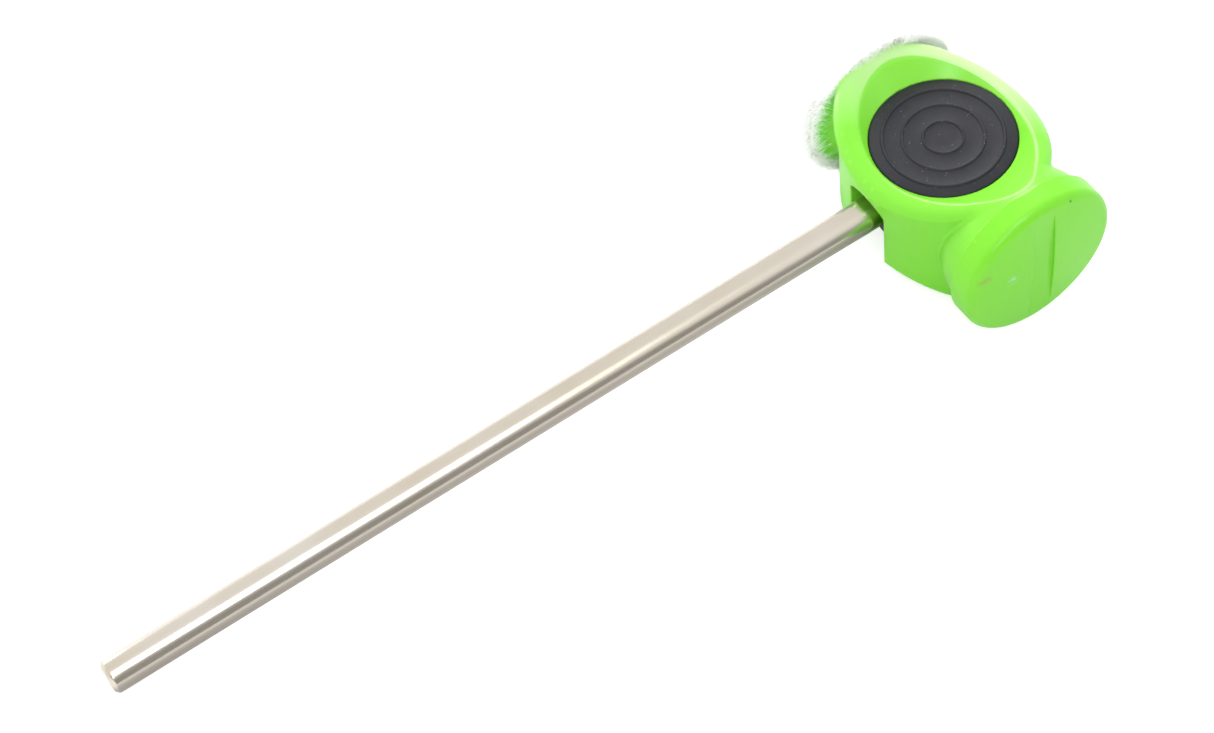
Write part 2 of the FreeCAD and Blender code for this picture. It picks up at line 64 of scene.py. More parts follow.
# ---------------------------------------------------------------- mesh helpers
def place(points):
    """Hub-centred millimetres to metres in the frame."""
    return np.asarray(points, float) / 1000 + HUB


def unit(vectors):
    return vectors / np.maximum(np.linalg.norm(vectors, axis=-1), 1e-9)[..., None]


def add_object(name, data):
    ob = bpy.data.objects.new(name, data)
    scene.collection.objects.link(ob)
    return ob


def make(name, verts, faces, normals=None):
    """A smooth mesh object. An array of faces is loaded in bulk; a list may mix face sizes."""
    mesh = bpy.data.meshes.new(name)
    co = place(verts)
    if isinstance(faces, np.ndarray):
        mesh.vertices.add(len(co))
        mesh.vertices.foreach_set("co", co.astype(np.float32).ravel())
        mesh.loops.add(faces.size)
        mesh.loops.foreach_set("vertex_index", faces.astype(np.int32).ravel())
        mesh.polygons.add(len(faces))
        starts = np.arange(0, faces.size, faces.shape[1], dtype=np.int32)
        mesh.polygons.foreach_set("loop_start", starts)
        mesh.update(calc_edges=True)
    else:
        mesh.from_pydata(co.tolist(), [], [list(face) for face in faces])
    mesh.validate()
    mesh.polygons.foreach_set("use_smooth", [True] * len(mesh.polygons))
    ob = add_object(name, mesh)
    if normals is not None:
        mesh.normals_split_custom_set_from_vertices(np.asarray(normals, float).tolist())
    return ob


def outward(ob):
    """Turns the face normals out of the solid."""
    bm = bmesh.new()
    bm.from_mesh(ob.data)
    bmesh.ops.recalc_face_normals(bm, faces=bm.faces)
    bm.to_mesh(ob.data)
    bm.free()
    return ob


def lathe(name, profile, axis, around):
    """A turned solid. The profile's (radius, place along the axis) points start and
    end on the axis."""
    angle = 2 * np.pi * np.arange(around) / around
    rings, verts, faces = [], [], []
    for radius, along in profile:
        if radius < 1e-9:
            rings.append([len(verts)])
            verts.append((0.0, 0.0, along))
        else:
            rings.append(list(range(len(verts), len(verts) + around)))
            verts.extend(zip(radius * np.cos(angle), radius * np.sin(angle), [along] * around))
    for p, q in zip(rings[:-1], rings[1:]):
        for i in range(around):
            j = (i + 1) % around
            if len(p) == 1 and len(q) > 1:
                faces.append((p[0], q[j], q[i]))
            elif len(q) == 1 and len(p) > 1:
                faces.append((p[i], p[j], q[0]))
            elif len(p) > 1:
                faces.append((p[i], p[j], q[j], q[i]))
    columns = {"X": [2, 0, 1], "Y": [1, 2, 0], "Z": [0, 1, 2]}[axis]
    return outward(make(name, np.array(verts)[:, columns], faces))


def plug(radius, low, high, axis, around):
    """A plain cylinder to cut with."""
    return lathe("cutter", [(0, low), (radius, low), (radius, high), (0, high)], axis, around)


def rounded(rows, steps):
    """Profile points from rows of (radius, along, rounding of the corner)."""
    points = [np.array(row[:2], float) for row in rows]
    out = [tuple(points[0])]
    for i in range(1, len(points) - 1):
        before, corner, after = points[i - 1:i + 2]
        back, ahead = before - corner, after - corner
        back_len, ahead_len = np.linalg.norm(back), np.linalg.norm(ahead)
        back, ahead = back / back_len, ahead / ahead_len
        rounding = rows[i][2]
        if rounding <= 0:
            out.append(tuple(corner))
            continue
        angle = math.acos(max(-1, min(1, float(back @ ahead))))
        reach = min(rounding / math.tan(angle / 2), 0.48 * back_len, 0.48 * ahead_len)
        start, end = corner + back * reach, corner + ahead * reach
        middle = corner * 0.75 + (start + end) * 0.125
        for s in np.linspace(0, 1, steps + 1):
            out.append(tuple((1 - s) ** 2 * start + 2 * s * (1 - s) * middle + s * s * end))
    out.append(tuple(points[-1]))
    return out


def fine(profile, longest):
    """Adds points so that no straight run is longer than longest."""
    out = [profile[0]]
    for a, b in zip(profile[:-1], profile[1:]):
        n = max(1, int(math.ceil(math.hypot(b[0] - a[0], b[1] - a[1]) / longest)))
        for k in range(1, n + 1):
            out.append((a[0] + (b[0] - a[0]) * k / n, a[1] + (b[1] - a[1]) * k / n))
    return out


def cut(ob, cutter):
    """Takes the cutter's solid out of the object and removes the cutter."""
    modifier = ob.modifiers.new("cut", "BOOLEAN")
    modifier.operation = "DIFFERENCE"
    modifier.solver = "EXACT"
    modifier.object = cutter
    bpy.context.view_layer.update()
    depsgraph = bpy.context.evaluated_depsgraph_get()
    mesh = bpy.data.meshes.new_from_object(ob.evaluated_get(depsgraph))
    ob.modifiers.remove(modifier)
    old = ob.data
    ob.data = mesh
    bpy.data.meshes.remove(old)
    bpy.data.objects.remove(cutter)


def sharpen(ob, degrees):
    """Smooth shading, except across edges sharper than the angle."""
    for polygon in ob.data.polygons:
        polygon.use_smooth = True
    ob.data.set_sharp_from_angle(angle=math.radians(degrees))


def dress(ob, material):
    ob.data.materials.clear()
    ob.data.materials.append(material)


def install(ob, material, carrier, replaces=None):
    dress(ob, material)
    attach(ob, carrier)
    if replaces:
        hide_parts(replaces)


# ------------------------------------------------------- distance field helpers
def meet(a, b, radius):
    """Intersection whose edge is rounded."""
    outside = np.hypot(np.maximum(a + radius, 0), np.maximum(b + radius, 0))
    return np.minimum(np.maximum(a, b), -radius) + outside


def join(a, b, radius):
    """Union whose inner corner is filled."""
    inside = np.hypot(np.maximum(radius - a, 0), np.maximum(radius - b, 0))
    return np.maximum(np.minimum(a, b), radius) - inside


def curve(x, xs, ys):
    """Smooth monotone curve through the given points, and its slope."""
    h = np.diff(xs)
    d = np.diff(ys) / h
    m = np.zeros(len(xs))
    m[0], m[-1] = d[0], d[-1]
    for i in range(1, len(xs) - 1):
        if d[i - 1] * d[i] > 0:
            w1, w2 = 2 * h[i] + h[i - 1], h[i] + 2 * h[i - 1]
            m[i] = (w1 + w2) / (w1 / d[i - 1] + w2 / d[i])
    i = np.clip(np.searchsorted(xs, x) - 1, 0, len(h) - 1)
    t = np.clip((x - xs[i]) / h[i], 0, 1)
    value = ((1 + 2 * t) * (1 - t) ** 2 * ys[i] + t * (1 - t) ** 2 * h[i] * m[i]
             + t * t * (3 - 2 * t) * ys[i + 1] + t * t * (t - 1) * h[i] * m[i + 1])
    slope = ((6 * t * t - 6 * t) * ys[i] / h[i] + (3 * t * t - 4 * t + 1) * m[i]
             + (6 * t - 6 * t * t) * ys[i + 1] / h[i] + (3 * t * t - 2 * t) * m[i + 1])
    return value, slope


def smoothstep(t):
    t = np.clip(t, 0, 1)
    return t * t * (3 - 2 * t)


def arc_radius(half_chord, rise):
    return (half_chord ** 2 + rise ** 2) / (2 * rise)


# ------------------------------------------------------------------ head's shape
PAD_Z = 0.6                      # height of the axis of both pads, which is along X

# ring outline seen along Y: on each side a shallow arc runs into a tighter end arc
OVAL_Z = 0.2
OVAL_HALF_HEIGHT = 22.6
OVAL_PAD_SIDE = (30.0, 15.5)     # shallow radius, end radius at +X
OVAL_FLEECE_SIDE = (29.85, 19.7)
RING_SWELL = 1.4
# the ring's front and rear are hollowed by large cylinders along Z
SADDLE_RADIUS = 56.0
SADDLE_Y = 12.0                  # half depth of the ring at x = 0
# front rim: x, rounding
RIM = np.array([(-28, 4.0), (-23, 4.3), (-17, 5.0), (-8, 4.9), (8, 4.6), (20, 4.2), (30, 3.6)]).T

# oval pipes from the ring to the pads: distance along X, half width in Y, half height in Z
PIPE_START = 6.0
NECK_END = 29.5
NECK = np.array([
    (8, 11.4, 11.6), (13, 12.6, 12.6), (18, 15.2, 15.2), (21, 17.1, 17.3),
    (23.5, 18.1, 18.3), (26, 18.6, 18.75), (28.1, 18.85, 19.0)]).T
ROOT_END = 25.5
ROOT = np.array([
    (8, 11.4, 11.6), (13, 12.2, 12.2), (19.5, 14.0, 13.6), (24.6, 16.0, 15.6)]).T

PAD_RADIUS = 20.16
PAD_BACK_X = 28.0
CROWN_X = 36.0                   # top of the pad's crowned face
CROWN_HALF_CHORD = 18.45
CROWN_RISE = 1.0
CHANNEL_HALF_WIDTH = 3.0
CHANNEL_FLOOR_X = 35.05

PLATE_RADIUS = 19.2
PLATE_OUTER_X = -27.0
PLATE_INNER_X = -24.5

BORE_RADIUS = 17.10
BORE_HALF_LENGTH = 24
# each dish widens and shifts from the bore to its mouth
DISH_Y = 11.15
DISH_MOUTH_Y = 20.0
DISH_MOUTH_RADIUS = 26.6
DISH_SHIFT_X = 1.8
DISH_SHIFT_Z = 0.6

GROOVE_RADIUS = 17.9
GROOVE_FLAT = 1.98               # half width of the groove's floor
GROOVE_BEVEL = 1.2
GROOVE_BEVEL_SLOPE = 0.66

SLOT_HALF_WIDTH = 6.12
SLOT_TOP_Z = -4.0
SLOT_FRONT_Y = -7.0
SLOT_ARCH_RISE = 2.9
SLOT_ARCH_END_Y = -4.1


def half_oval(x, z, shallow, end):
    """One side of the ring's outline, for x positive."""
    drop = shallow - OVAL_HALF_HEIGHT
    end_x = math.sqrt((shallow - end) ** 2 - drop ** 2)
    on_shallow = (x * drop - (z + drop) * end_x) < 0
    return np.where(on_shallow, np.hypot(x, z + drop) - shallow, np.hypot(x - end_x, z) - end)


def ring_field(x, y, z, front):
    # the wall swells out at the front, towards the fleece and the bottom
    swell = (smoothstep((-y - 3.0) / 13.0) * RING_SWELL * smoothstep((-x - 4.0) / 16.0)
             * smoothstep((8.0 - z) / 14.0))
    height = np.abs(z - OVAL_Z)
    wall = np.where(x >= 0, half_oval(x, height, *OVAL_PAD_SIDE),
                    half_oval(-x, height, *OVAL_FLEECE_SIDE)) - swell
    rim, _ = curve(x, *RIM)
    ring = np.maximum(wall, meet(wall - 0.45, front, radius=rim + 0.9))
    rear = SADDLE_RADIUS - np.hypot(x, y - SADDLE_Y - SADDLE_RADIUS)
    return meet(ring, rear, radius=0.8)


def pipe_field(x, y, z, stations, end):
    """A pipe along X with an oval section that changes with x."""
    xs, half_widths, half_heights = stations
    a, da = curve(x, xs, half_widths)
    b, db = curve(x, xs, half_heights)
    r = np.sqrt((y / a) ** 2 + (z / b) ** 2) + 1e-9
    gy, gz = y / a ** 2 / r, z / b ** 2 / r
    gx = -(y * y * da / a ** 3 + z * z * db / b ** 3) / r
    pipe = (r - 1) / np.sqrt(gx * gx + gy * gy + gz * gz + 1e-9)
    return np.maximum(np.maximum(pipe, PIPE_START - x), x - end)


def pad_field(x, z, r):
    """Striking pad: straight rim, crowned face and a channel across it along Y."""
    pad = meet(r - PAD_RADIUS, PAD_BACK_X - x, radius=0.3)
    crown_radius = arc_radius(CROWN_HALF_CHORD, CROWN_RISE)
    crown = np.hypot(x - (CROWN_X - crown_radius), r) - crown_radius
    pad = meet(pad, crown, radius=2.1)
    channel = np.maximum(np.abs(z) - CHANNEL_HALF_WIDTH, CHANNEL_FLOOR_X - x)
    return meet(pad, -channel, radius=0.22)


def plate_field(x, y, z, r, front):
    """Round plate for the fleece, trimmed at the front and bevelled at the upper front."""
    plate = meet(r - PLATE_RADIUS, PLATE_OUTER_X - x, radius=0.5)
    plate = meet(plate, x - PLATE_INNER_X, radius=0.6)
    plate = meet(plate, front + 0.6 + 1.1 * np.clip(-24.3 - x, 0, 3), radius=0.6)
    return meet(plate, 0.835 * z - 0.55 * y - 17.2, radius=1.0)


def opening_field(x, y, z):
    """The bore and the dishes at its front and rear."""
    depth = DISH_MOUTH_Y - DISH_Y
    spread = DISH_MOUTH_RADIUS - BORE_RADIUS
    t = (np.abs(y) - DISH_Y) / depth
    slope = spread / depth
    dish = np.hypot(x - DISH_SHIFT_X * t, z - DISH_SHIFT_Z * t) - (BORE_RADIUS + spread * t)
    dish = np.maximum(dish / math.sqrt(1 + slope * slope), -t * 8.0)
    bore = np.maximum(np.hypot(x, z) - BORE_RADIUS, np.abs(y) - BORE_HALF_LENGTH)
    return np.minimum(dish, bore)


def groove_field(x, y, z):
    """A groove round the middle of the bore, with bevelled sides."""
    bevel = np.clip(np.abs(y) - GROOVE_FLAT, 0, GROOVE_BEVEL) * GROOVE_BEVEL_SLOPE
    return np.maximum(np.hypot(x, z) + bevel - GROOVE_RADIUS,
                      np.abs(y) - (GROOVE_FLAT + GROOVE_BEVEL))


def slot_field(x, y, z):
    """The rod's slot through the lower wall, arched at its front."""
    radius = arc_radius(SLOT_HALF_WIDTH, SLOT_ARCH_RISE)
    arch = np.hypot(x, y - SLOT_FRONT_Y - radius) - radius
    slot = np.maximum(np.abs(x) - SLOT_HALF_WIDTH, np.where(y < SLOT_ARCH_END_Y, arch, -9.0))
    return np.maximum(slot, z - SLOT_TOP_Z)


def shell(x, y, z):
    """Distance field of the whole head moulding."""
    pad_z = z - PAD_Z
    r = np.hypot(y, pad_z)
    front = SADDLE_RADIUS - np.hypot(x, y + SADDLE_Y + SADDLE_RADIUS)
    body = ring_field(x, y, z, front)
    body = join(body, pipe_field(x, y, pad_z, NECK, NECK_END), radius=0.75)
    body = join(body, pipe_field(-x, y, pad_z, ROOT, ROOT_END), radius=2.0)
    body = join(body, pad_field(x, pad_z, r), radius=0.5)
    body = join(body, plate_field(x, y, pad_z, r, front), radius=0.6)
    body = np.maximum(body, PLATE_OUTER_X - x)
    body = meet(body, -opening_field(x, y, z), radius=0.36)
    body = np.maximum(body, -groove_field(x, y, z))
    return meet(body, -slot_field(x, y, z), radius=0.32)


# ------------------------------------------------------------- meshing the field
GRID_LOW = np.array([-27.6, -23.0, -23.6])
GRID_HIGH = np.array([36.6, 23.0, 23.6])
GRID_STEP = 0.4
CORNERS = [(x, y, z) for z in (0, 1) for y in (0, 1) for x in (0, 1)]


def surface_net(field, low, high, step):
    """Closed quad mesh of field = 0: one vertex per cell the surface crosses."""
    count = np.ceil((high - low) / step).astype(int) + 1
    xs, ys, zs = (low[i] + step * np.arange(count[i]) for i in range(3))
    values = np.empty(tuple(count), np.float32)
    for start in range(0, count[0], 24):
        slab = slice(start, start + 24)
        values[slab] = field(xs[slab][:, None, None], ys[None, :, None], zs[None, None, :])
    inside = values < 0
    corners_in = np.zeros(tuple(count - 1), np.uint8)
    for corner in CORNERS:
        corners_in += inside[tuple(slice(c, n - 1 + c) for c, n in zip(corner, count))]
    crossed = (corners_in > 0) & (corners_in < 8)
    index = np.full(tuple(count - 1), -1, np.int64)
    cells = np.argwhere(crossed)
    index[crossed] = np.arange(len(cells))

    # each vertex is the mean of the crossings on its cell's edges
    total = np.zeros((len(cells), 3))
    crossings = np.zeros(len(cells))
    for axis in range(3):
        for corner in CORNERS:
            if corner[axis]:
                continue
            p = cells + np.array(corner)
            q = p.copy()
            q[:, axis] += 1
            at_p = values[p[:, 0], p[:, 1], p[:, 2]]
            at_q = values[q[:, 0], q[:, 1], q[:, 2]]
            hit = (at_p < 0) != (at_q < 0)
            t = np.where(hit, at_p / np.where(hit, at_p - at_q, 1), 0)
            point = np.array(corner, float)[None, :].repeat(len(cells), 0)
            point[:, axis] += t
            total[hit] += point[hit]
            crossings[hit] += 1
    verts = (cells + total / crossings[:, None]) * step + low

    # each crossed grid edge gives a quad between the four cells round it
    quads = []
    for axis in range(3):
        b, c = (axis + 1) % 3, (axis + 2) % 3
        near = [slice(1, -1)] * 3
        far = list(near)
        near[axis] = slice(0, -1)
        far[axis] = slice(1, None)
        base = np.ones(3, int)
        base[axis] = 0
        edges = np.argwhere(inside[tuple(near)] != inside[tuple(far)]) + base
        starts_in = inside[edges[:, 0], edges[:, 1], edges[:, 2]]

        def cell(back_b, back_c):
            k = edges.copy()
            k[:, b] -= back_b
            k[:, c] -= back_c
            return index[k[:, 0], k[:, 1], k[:, 2]]

        quad = np.stack([cell(1, 1), cell(0, 1), cell(0, 0), cell(1, 0)], 1)
        quad[~starts_in] = quad[~starts_in][:, ::-1]
        quads.append(quad)
    return verts, np.concatenate(quads)


def gradient(field, points, h=0.02):
    slopes = np.empty_like(points)
    for axis in range(3):
        offset = np.zeros(3)
        offset[axis] = h
        slopes[:, axis] = (field(*(points + offset).T) - field(*(points - offset).T)) / (2 * h)
    return slopes


def relax(field, verts, quads, step, rounds=3):
    """Moves the vertices onto the surface and evens out their spacing."""
    edges = np.concatenate([quads[:, [k, (k + 1) % 4]] for k in range(4)])
    edges = np.concatenate([edges, edges[:, ::-1]])
    degree = np.bincount(edges[:, 0], minlength=len(verts)).astype(float)
    for k in range(rounds + 1):
        slopes = gradient(field, verts)
        square = (slopes ** 2).sum(1)
        move = -(field(*verts.T) / np.maximum(square, 0.2))[:, None] * slopes
        dist = np.linalg.norm(move, axis=1)
        move *= np.minimum(1, 0.5 * step / np.maximum(dist, 1e-9))[:, None]
        verts = verts + move
        if k == rounds:
            break
        mean = np.zeros_like(verts)
        for axis in range(3):
            mean[:, axis] = np.bincount(edges[:, 0], verts[edges[:, 1], axis], len(verts))
        mean /= degree[:, None]
        normal = slopes / np.sqrt(np.maximum(square, 1e-9))[:, None]
        move = (mean - verts) * 0.5
        move -= (move * normal).sum(1)[:, None] * normal
        verts = verts + move
    return verts


# -------------------------------------------------------------- material helpers
def put(tree, socket, value):
    """Links a socket to the input, or sets the input's value."""
    if isinstance(value, bpy.types.NodeSocket):
        tree.links.new(value, socket)
    else:
        socket.default_value = value


def add_node(tree, kind, inputs, **settings):
    node = tree.nodes.new("ShaderNode" + kind)
    for name, value in settings.items():
        setattr(node, name, value)
    for key, value in inputs.items():
        put(tree, node.inputs[key], value)
    return node


class Nodes:
    """A short way to write a material's nodes. Scales are per metre."""

    def __init__(self, name):
        self.mat = bpy.data.materials.new(name)
        self.mat.use_nodes = True
        self.tree = self.mat.node_tree
        self.bsdf = self.tree.nodes["Principled BSDF"]
        self.position = self.add("TexCoord").outputs["Object"]

    @cached_property
    def geometry(self):
        return self.add("NewGeometry").outputs

    def add(self, kind, inputs={}, **settings):
        return add_node(self.tree, kind, inputs, **settings)

    def set(self, **inputs):
        for name, value in inputs.items():
            put(self.tree, self.bsdf.inputs[name.replace("_", " ")], value)

    def mapped(self, scale, turn=(0, 0, 0), shift=(0, 0, 0)):
        scale = scale if isinstance(scale, tuple) else (scale,) * 3
        return self.add("Mapping", {"Vector": self.position, "Scale": scale,
                                    "Rotation": turn, "Location": shift}).outputs["Vector"]

    def noise(self, scale, detail, roughness=0.5, distortion=0.0, **mapping):
        return self.add("TexNoise", {
            "Vector": self.mapped(scale, **mapping), "Scale": 1.0, "Detail": detail,
            "Roughness": roughness, "Distortion": distortion}).outputs[0]

    def math(self, operation, *operands):
        return self.add("Math", dict(enumerate(operands)), operation=operation).outputs[0]

    def times(self, a, b):
        return self.math("MULTIPLY", a, b)

    def plus(self, a, b):
        return self.math("ADD", a, b)

    def vector_math(self, operation, a, b=(0, 0, 0)):
        output = "Value" if operation in ("DISTANCE", "DOT_PRODUCT") else "Vector"
        return self.add("VectorMath", {0: a, 1: b}, operation=operation).outputs[output]

    def separate(self, vector):
        return tuple(self.add("SeparateXYZ", {0: vector}).outputs)

    def ramp(self, value, span, levels=(0.0, 1.0)):
        """Grey that runs between two levels as the value crosses the span."""
        node = self.add("ValToRGB", {0: value})
        for stop, place_, level in zip(node.color_ramp.elements, span, levels):
            stop.position = place_
            stop.color = (level, level, level, 1)
        return node.outputs[0]

    def mix(self, amount, a, b):
        # inputs 6 and 7 and output 2 are the colour sockets
        return self.add("Mix", {0: amount, 6: a, 7: b}, data_type="RGBA").outputs[2]

    def bump(self, height, strength, distance, over=None):
        inputs = {"Strength": strength, "Distance": distance, "Height": height}
        if over is not None:
            inputs["Normal"] = over
        return self.add("Bump", inputs).outputs[0]

    def spot(self, centre, size, soft=1.0):
        """1 near a hub-centred point, falling to 0 at size, both in millimetres."""
        dist = self.vector_math("DISTANCE", self.position, tuple(place(centre)))
        return self.add("MapRange", {
            "Value": dist, "From Min": size / 1000 * (1 - soft), "From Max": size / 1000,
            "To Min": 1, "To Max": 0}, interpolation_type="SMOOTHSTEP").outputs["Result"]


def srgb(red, green, blue):
    def linear(c):
        c /= 255
        return c / 12.92 if c <= 0.04045 else ((c + 0.055) / 1.055) ** 2.4
    return (linear(red), linear(green), linear(blue), 1)


# --------------------------------------------------------------------- materials
# scuffs on the striking face: centre and size in mm, noise span, strength, colour
SCUFFS = [
    ((34.8, -6.95, -15.4), 2.6, (0.42, 0.62), 0.7, srgb(160, 150, 66)),
    ((35.3, -2.0, -7.9), 2.4, (0.45, 0.62), 0.75, srgb(190, 235, 215)),
]
RING_LIMIT_X = 0.0275            # metres; the painted light on the ring stops short of the pad


def head_plastic():
    m = Nodes("head_plastic")
    mottle = m.noise(28, detail=2)
    flow = m.noise((30, 90, 420), turn=(0.2, 0.1, 0.4), detail=4, roughness=0.6,
                   distortion=0.6)
    colour = m.mix(mottle, srgb(118, 214, 32), srgb(125, 220, 40))
    flow = m.ramp(flow, span=(0.35, 0.75), levels=(0.0, 0.20))
    colour = m.mix(flow, colour, srgb(138, 226, 58))
    rub = m.noise((300, 900, 260), turn=(0.7, 0, 0), detail=4, roughness=0.7)
    for centre, size, span, strength, tint in SCUFFS:
        mark = m.times(m.spot(centre, size), m.ramp(rub, span))
        colour = m.mix(m.times(mark, strength), colour, tint)
    dot = m.spot((34.6, -17.0, 8.1), size=0.55, soft=0.5)
    colour = m.mix(m.times(dot, 0.8), colour, srgb(60, 80, 40))

    # how far the surface faces away from the hub's axis
    normal_x, normal_y, normal_z = m.separate(m.geometry["Normal"])
    from_hub = m.vector_math("SUBTRACT", m.position, tuple(HUB))
    radial = m.vector_math("NORMALIZE", m.vector_math("MULTIPLY", from_hub, (1, 0, 1)))
    radial_x, _, radial_z = m.separate(radial)
    facing_out = m.plus(m.times(normal_x, radial_x), m.times(normal_z, radial_z))
    upper_fleece_side = m.plus(m.times(radial_x, -0.70), m.times(radial_z, 0.60))
    x, _, _ = m.separate(m.position)

    # painted reflection: the rims' rounded bands are paler where they face outwards, most on the
    # upper fleece side, standing in for the bright surroundings they reflect at grazing angles
    painted_band_reflection = m.times(m.ramp(m.plus(facing_out, 0.6), span=(0.03, 0.13)),
                   m.ramp(m.math("ABSOLUTE", normal_y, 0.0), span=(0.18, 0.5)))
    painted_band_reflection = m.times(painted_band_reflection, m.ramp(upper_fleece_side, span=(0.0, 0.7), levels=(0.05, 1.0)))
    painted_band_reflection = m.times(painted_band_reflection, m.math("LESS_THAN", x, RING_LIMIT_X))
    colour = m.mix(m.times(painted_band_reflection, 0.75), colour, srgb(205, 238, 172))
    # painted light: the dish is brighter in its upper part, towards the fleece, where its wall
    # faces the light
    dish = m.times(m.ramp(m.plus(facing_out, 1.0), span=(0.36, 0.52), levels=(1.0, 0.0)),
                   m.ramp(upper_fleece_side, span=(0.1, 0.6)))
    dish = m.times(dish, m.math("LESS_THAN", x, RING_LIMIT_X))
    colour = m.mix(m.times(dish, 0.5), colour, srgb(160, 246, 92))
    # painted highlight: sharp edges and creases are slightly paler, standing in for the thin
    # highlights along them
    edge = m.ramp(m.geometry["Pointiness"], span=(0.515, 0.58), levels=(0.0, 0.2))
    colour = m.mix(edge, colour, srgb(156, 240, 84))

    grain = m.noise(2600, detail=3, roughness=0.6)
    scratches = m.noise((160, 2600, 700), turn=(0.5, 0.3, 0.9), detail=3, roughness=0.55)
    scratches = m.ramp(scratches, span=(0.60, 0.70))
    roughness = m.plus(0.27, m.times(mottle, 0.10))
    roughness = m.plus(roughness, m.times(scratches, 0.10))
    normal = m.bump(grain, strength=0.10, distance=0.00004)
    normal = m.bump(scratches, strength=0.10, distance=0.00004, over=normal)
    normal = m.bump(m.noise(120, detail=2), strength=0.25, distance=0.0002, over=normal)
    m.set(Base_Color=colour, Roughness=roughness, Normal=normal, IOR=1.48,
          Subsurface_Weight=0.10, Subsurface_Scale=0.0009,
          Subsurface_Radius=(0.6, 1.0, 0.2))
    return m.mat


def hub_rubber():
    m = Nodes("hub_rubber")
    colour = m.mix(m.noise(60, detail=3), srgb(19, 19, 27), srgb(26, 26, 35))
    wipe = m.noise((90, 400, 240), turn=(0, 0.6, 0), detail=5, roughness=0.65,
                   distortion=0.8)
    wiped = m.ramp(wipe, span=(0.45, 0.8), levels=(0.0, 0.3))
    colour = m.mix(wiped, colour, srgb(52, 51, 58))
    # dust specks, kept in patches
    cells = m.add("TexVoronoi", {"Vector": m.mapped(1500), "Scale": 1})
    speck = m.math("LESS_THAN", cells.outputs["Distance"], 0.13)
    patches = m.math("GREATER_THAN", m.noise(900, shift=(3, 1, 7), detail=1), 0.60)
    speck = m.times(speck, patches)
    colour = m.mix(m.times(speck, 0.75), colour, srgb(150, 148, 154))
    normal = m.bump(m.noise(1900, detail=4, roughness=0.65), strength=0.35,
                    distance=0.00005)
    normal = m.bump(m.noise(260, detail=2), strength=0.25, distance=0.00012, over=normal)
    normal = m.bump(speck, strength=0.3, distance=0.00003, over=normal)
    m.set(Base_Color=colour, Roughness=m.plus(0.46, m.times(wipe, 0.16)), Normal=normal,
          Sheen_Weight=0.03, Sheen_Roughness=0.5, Specular_IOR_Level=0.34)
    return m.mat


def steel(name, tint, roughness, ring_scale, painted_side_shade=False):
    """Ground bar: fine rings round the bar, a few long handling scratches."""
    m = Nodes(name)
    rings = m.noise((90, 90, ring_scale), detail=4, roughness=0.6)
    runs = m.noise((2600, 2600, 26), detail=3, roughness=0.6)
    blotches = m.noise((45, 45, 30), detail=3, roughness=0.6)
    red, green, blue = tint
    colour = m.mix(m.ramp(blotches, span=(0.35, 0.7)), srgb(red, green, blue),
                   srgb(red - 10, green - 14, blue - 22))
    if painted_side_shade:
        # painted shade: the side towards +X and +Y is darker along the whole bar, standing in
        # for the dim reflection on its lower side
        side = m.vector_math("DOT_PRODUCT", m.geometry["Normal"], (0.8546, 0.5194, 0.0))
        side = m.ramp(m.math("MULTIPLY_ADD", side, 0.5, 0.5), span=(0.71, 0.83))
        colour = m.mix(side, colour, srgb(170, 163, 153))
    rough = m.plus(roughness, m.times(m.ramp(runs, span=(0.5, 0.75)), 0.10))
    rough = m.plus(rough, m.times(rings, 0.05))
    normal = m.bump(rings, strength=0.18, distance=0.00001)
    normal = m.bump(runs, strength=0.14, distance=0.00001, over=normal)
    m.set(Base_Color=colour, Metallic=1.0, Roughness=rough, Normal=normal)
    return m.mat


def adhesive_film():
    m = Nodes("adhesive_film")
    grain = m.noise(500, detail=4)
    m.set(Base_Color=m.mix(grain, srgb(205, 190, 150), srgb(225, 214, 182)),
          Roughness=m.plus(0.25, m.times(grain, 0.3)),
          Normal=m.bump(grain, strength=0.4, distance=0.0001),
          Transmission_Weight=0.25)
    return m.mat


def knit():
    m = Nodes("knit")
    grain = m.noise(1500, detail=4, roughness=0.7)
    broad = m.noise(120, detail=2)
    m.set(Base_Color=m.mix(grain, srgb(206, 205, 198), srgb(240, 240, 235)),
          Roughness=m.plus(0.8, m.times(broad, 0.15)),
          Normal=m.bump(grain, strength=0.6, distance=0.0001),
          Sheen_Weight=0.4)
    return m.mat


def fleece_wool():
    m = Nodes("fleece_wool")
    grain = m.noise(420, detail=4, roughness=0.6)
    broad = m.noise(60, detail=2)
    colour = m.mix(grain, srgb(251, 252, 250), srgb(255, 255, 255))
    colour = m.mix(m.times(broad, 0.12), colour, srgb(246, 247, 243))
    strands_noise = m.noise((2600, 2600, 700), detail=3)
    m.set(Base_Color=colour, Roughness=m.plus(0.72, m.times(grain, 0.2)),
          Normal=m.bump(strands_noise, strength=0.35, distance=0.00008),
          Sheen_Weight=0.5, Sheen_Roughness=0.4, Subsurface_Weight=0.25,
          Subsurface_Scale=0.0012, Subsurface_Radius=(1, 1, 1))
    return m.mat


def floor_paper():
    """White paper, lit up for the camera and clear from below."""
    m = Nodes("floor_paper")
    tone = m.mix(m.noise(6, detail=2), (0.80, 0.80, 0.80, 1), (0.83, 0.83, 0.83, 1))
    seen = m.add("LightPath").outputs["Is Camera Ray"]
    m.set(Base_Color=tone, Roughness=0.9, Specular_IOR_Level=0.0,
          Emission_Color=(1, 1, 1, 1), Emission_Strength=m.times(seen, 0.62))
    clear = m.add("BsdfTransparent").outputs[0]
    mixed = m.add("MixShader", {0: m.geometry["Backfacing"], 1: m.bsdf.outputs[0], 2: clear})
    put(m.tree, m.tree.nodes["Material Output"].inputs[0], mixed.outputs[0])
    return m.mat


# -------------------------------------------------------------------------- head
verts, quads = surface_net(shell, GRID_LOW, GRID_HIGH, GRID_STEP)
verts = relax(shell, verts, quads, GRID_STEP)
head = make("head_moulding", verts, quads, normals=unit(gradient(shell, verts, 0.03)))
install(head, head_plastic(), "head", replaces="head_shell")

# --------------------------------------------------------------------------- hub
DISC_FACE_Y = 11.3
